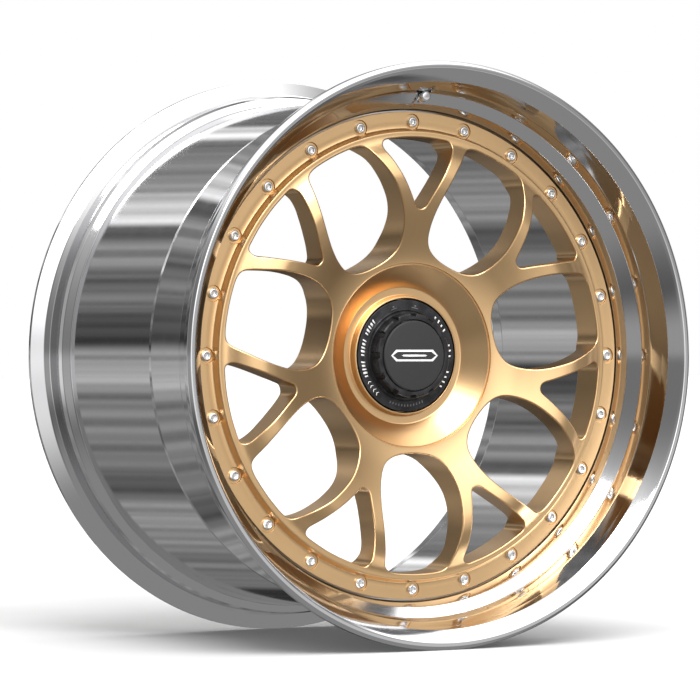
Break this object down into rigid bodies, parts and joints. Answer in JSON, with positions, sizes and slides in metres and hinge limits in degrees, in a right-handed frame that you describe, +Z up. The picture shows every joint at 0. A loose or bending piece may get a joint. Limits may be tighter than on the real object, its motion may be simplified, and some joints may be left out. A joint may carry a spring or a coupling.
{
  "type": "racing wheel rim",
  "caption": "Forged split-rim racing wheel: satin gold forked-spoke centre, polished stepped lip and barrel, a ring of assembly bolts, tyre valve and a black centre-lock nut.",
  "frame": {"origin": "middle of the rim's box, on the wheel axis", "axes": "+Y along the wheel axis towards the car, so the outboard face looks along -Y; +Z up through the valve"},
  "size_m": [0.5426, 0.3294, 0.5426],
  "materials": {
    "satin_gold": "satin gold over forged alloy, fine and even",
    "polished_alloy": "mirror polished, with faint turning lines",
    "bolt_steel": "bright plated",
    "black_anodised": "black anodised, satin, with white marks on its collar",
    "cap_plastic": "matte dark grey",
    "dark_steel": "machined and blackened",
    "spring_steel": "drawn wire",
    "seal_rubber": "black rubber",
    "sealant": "smoothed grey sealant",
    "chrome": "bright chrome"
  },
  "bodies": {
    "wheel": {"wheel_centre": "satin_gold", "outer_lip": "polished_alloy", "inner_barrel": "polished_alloy", "joint_seal": "sealant", "assembly_bolt_01": "bolt_steel", "assembly_bolt_02": "bolt_steel", "assembly_bolt_03": "bolt_steel", "assembly_bolt_04": "bolt_steel", "assembly_bolt_05": "bolt_steel", "assembly_bolt_06": "bolt_steel", "assembly_bolt_07": "bolt_steel", "assembly_bolt_08": "bolt_steel", "assembly_bolt_09": "bolt_steel", "assembly_bolt_10": "bolt_steel", "assembly_bolt_11": "bolt_steel", "assembly_bolt_12": "bolt_steel", "assembly_bolt_13": "bolt_steel", "assembly_bolt_14": "bolt_steel", "assembly_bolt_15": "bolt_steel", "assembly_bolt_16": "bolt_steel", "assembly_bolt_17": "bolt_steel", "assembly_bolt_18": "bolt_steel", "assembly_bolt_19": "bolt_steel", "assembly_bolt_20": "bolt_steel", "assembly_bolt_21": "bolt_steel", "assembly_bolt_22": "bolt_steel", "assembly_bolt_23": "bolt_steel", "assembly_bolt_24": "bolt_steel", "drive_bush_1": "dark_steel", "drive_bush_2": "dark_steel", "drive_bush_3": "dark_steel", "drive_bush_4": "dark_steel", "drive_bush_5": "dark_steel", "valve_stem": "chrome", "valve_gasket": "seal_rubber", "valve_nut": "chrome", "valve_core": "bolt_steel"},
    "thrust": {"thrust_ring": "dark_steel"},
    "nut": {"centre_nut": "black_anodised", "retaining_ring": "spring_steel", "lock_spring": "spring_steel"},
    "sleeve": {"lock_sleeve": "dark_steel"},
    "cap": {"centre_cap": "cap_plastic", "cap_o_ring": "seal_rubber"},
    "valve_cap_seal": {"cap_seal": "seal_rubber"},
    "valve_cap": {"valve_cap": "chrome"},
    "valve_pin": {"valve_pin": "bolt_steel"}
  },
  "joints": [
    {"name": "nut_withdraw", "type": "slide", "parent": "wheel", "child": "thrust", "axis": [0, -1, 0], "range_m": [0, 0.06]},
    {"name": "nut_turn", "type": "hinge", "parent": "thrust", "child": "nut", "pos_m": [0, -0.0753, 0], "axis": [0, -1, 0], "continuous": true},
    {"name": "lock_sleeve_press", "type": "slide", "parent": "nut", "child": "sleeve", "axis": [0, 1, 0], "range_m": [0, 0.006], "stiffness_N_per_m": 1500, "springref_m": -0.004},
    {"name": "cap_pull", "type": "slide", "parent": "nut", "child": "cap", "axis": [0, -1, 0], "range_m": [0, 0.03]},
    {"name": "valve_cap_lift", "type": "slide", "parent": "wheel", "child": "valve_cap_seal", "axis": [0, -1, 0], "range_m": [0, 0.00397]},
    {"name": "valve_cap_turn", "type": "hinge", "parent": "valve_cap_seal", "child": "valve_cap", "pos_m": [0, -0.1193, 0.2414], "axis": [0, -1, 0], "range_deg": [0, 1800]},
    {"name": "valve_pin_press", "type": "slide", "parent": "wheel", "child": "valve_pin", "axis": [0, 1, 0], "range_m": [0, 0.0015], "stiffness_N_per_m": 200, "springref_m": -0.003}
  ],
  "couplings": [
    {"joint": "valve_cap_turn", "follows": "valve_cap_lift", "rad_per_m": 7915.8}
  ]
}
